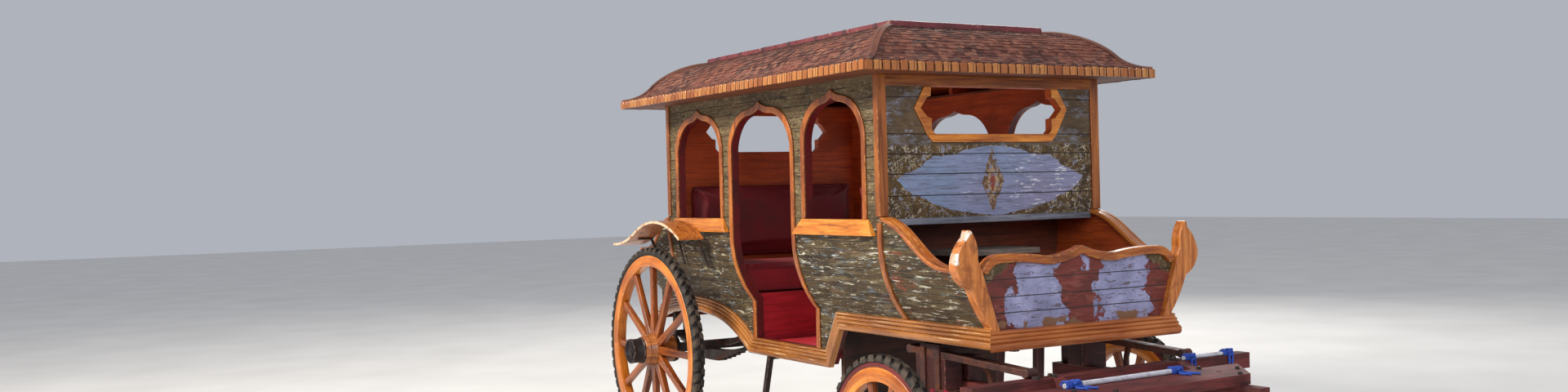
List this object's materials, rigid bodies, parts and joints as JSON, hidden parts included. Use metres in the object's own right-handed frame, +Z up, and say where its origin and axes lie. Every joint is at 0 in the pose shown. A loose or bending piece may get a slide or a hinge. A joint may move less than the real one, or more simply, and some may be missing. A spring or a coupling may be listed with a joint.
{
  "type": "horse-drawn carriage",
  "caption": "Roofed wooden coach with arched side openings, open driver's box with carved horns, hipped shingle roof, large rear wheels and a steered fore-carriage.",
  "frame": {"origin": "centre of the bounding box on the ground", "axes": "+Z up, front of the coach towards -Y, +X its left side"},
  "size_m": [1.952, 3.8774, 2.25],
  "materials": {
    "painted_planks": "horizontal planks with old flaking paint",
    "varnished_trim": "orange-brown varnish over carved hardwood",
    "dark_timber": "dark brown stained boards",
    "red_boards": "red painted boards",
    "seat_cloth": "dark red padded seat covering",
    "shingles": "small reddish brown wooden shingles",
    "cap_metal": "dark red painted sheet metal",
    "grey_paint": "weathered grey paint",
    "iron": "dark painted iron, rusted",
    "maroon_timber": "maroon painted timber, worn",
    "white_pole": "white painted round pole",
    "wheel_wood": "orange varnished wheel wood",
    "tyre": "worn black rubber with blocks"
  },
  "bodies": {
    "coach_body": {"side_wall_left": "painted_planks", "side_wall_right": "painted_planks", "driver_box_sides": "painted_planks", "boot_sides": "painted_planks", "wing_rails": "varnished_trim", "front_wall": "painted_planks", "rear_wall": "painted_planks", "window_frames": "varnished_trim", "top_rails": "varnished_trim", "weather_bar": "grey_paint", "corner_posts": "varnished_trim", "side_strips": "varnished_trim", "arch_trims": "varnished_trim", "window_sills": "varnished_trim", "base_moulding": "varnished_trim", "dash_panel": "painted_planks", "dash_rail": "varnished_trim", "horn_finials": "varnished_trim", "tailboard": "painted_planks", "driver_floor": "dark_timber", "well_floor": "red_boards", "rear_floor": "dark_timber", "bulkheads": "dark_timber", "driver_backboard": "dark_timber", "driver_seat": "dark_timber", "benches": "red_boards", "rear_seat_cushion": "seat_cloth", "rear_seat_back": "seat_cloth", "front_seat_cushion": "seat_cloth", "front_seat_back": "seat_cloth", "roof_shell": "shingles", "roof_cap": "cap_metal", "eaves_fascia": "varnished_trim", "eaves_soffit": "dark_timber", "roof_ribs": "dark_timber", "mudguards": "varnished_trim", "mudguard_stays": "iron", "entry_steps": "iron", "rear_axle": "iron", "rear_springs": "iron", "spring_hangers": "iron", "rear_braces": "iron", "turntable_upper": "iron"},
    "fore_carriage": {"turntable_lower": "iron", "fore_bolster": "maroon_timber", "axle_blocks": "maroon_timber", "spring_bars": "maroon_timber", "front_axle": "iron", "futchells": "maroon_timber", "cross_bars": "maroon_timber", "lashed_poles": "white_pole"},
    "rear_left_wheel_body": {"rear_wheel_left": "wheel_wood", "rear_tyre_left": "tyre"},
    "rear_right_wheel_body": {"rear_wheel_right": "wheel_wood", "rear_tyre_right": "tyre"},
    "front_left_wheel_body": {"front_wheel_left": "wheel_wood", "front_tyre_left": "tyre"},
    "front_right_wheel_body": {"front_wheel_right": "wheel_wood", "front_tyre_right": "tyre"}
  },
  "joints": [
    {"name": "steering", "type": "hinge", "parent": "coach_body", "child": "fore_carriage", "pos_m": [0, -0.8273, 0.78], "axis": [0, 0, 1], "range_deg": [-29, 23]},
    {"name": "rear_wheel_left_spin", "type": "hinge", "parent": "coach_body", "child": "rear_left_wheel_body", "pos_m": [0.8, 1.3557, 0.583], "axis": [1, 0, 0], "continuous": true},
    {"name": "rear_wheel_right_spin", "type": "hinge", "parent": "coach_body", "child": "rear_right_wheel_body", "pos_m": [-0.8, 1.3557, 0.583], "axis": [1, 0, 0], "continuous": true},
    {"name": "front_wheel_left_spin", "type": "hinge", "parent": "fore_carriage", "child": "front_left_wheel_body", "pos_m": [0.76495, -0.78721, 0.376], "axis": [0.9986, 0.0523, 0], "continuous": true},
    {"name": "front_wheel_right_spin", "type": "hinge", "parent": "fore_carriage", "child": "front_right_wheel_body", "pos_m": [-0.76495, -0.86739, 0.376], "axis": [0.9986, 0.0523, 0], "continuous": true}
  ]
}
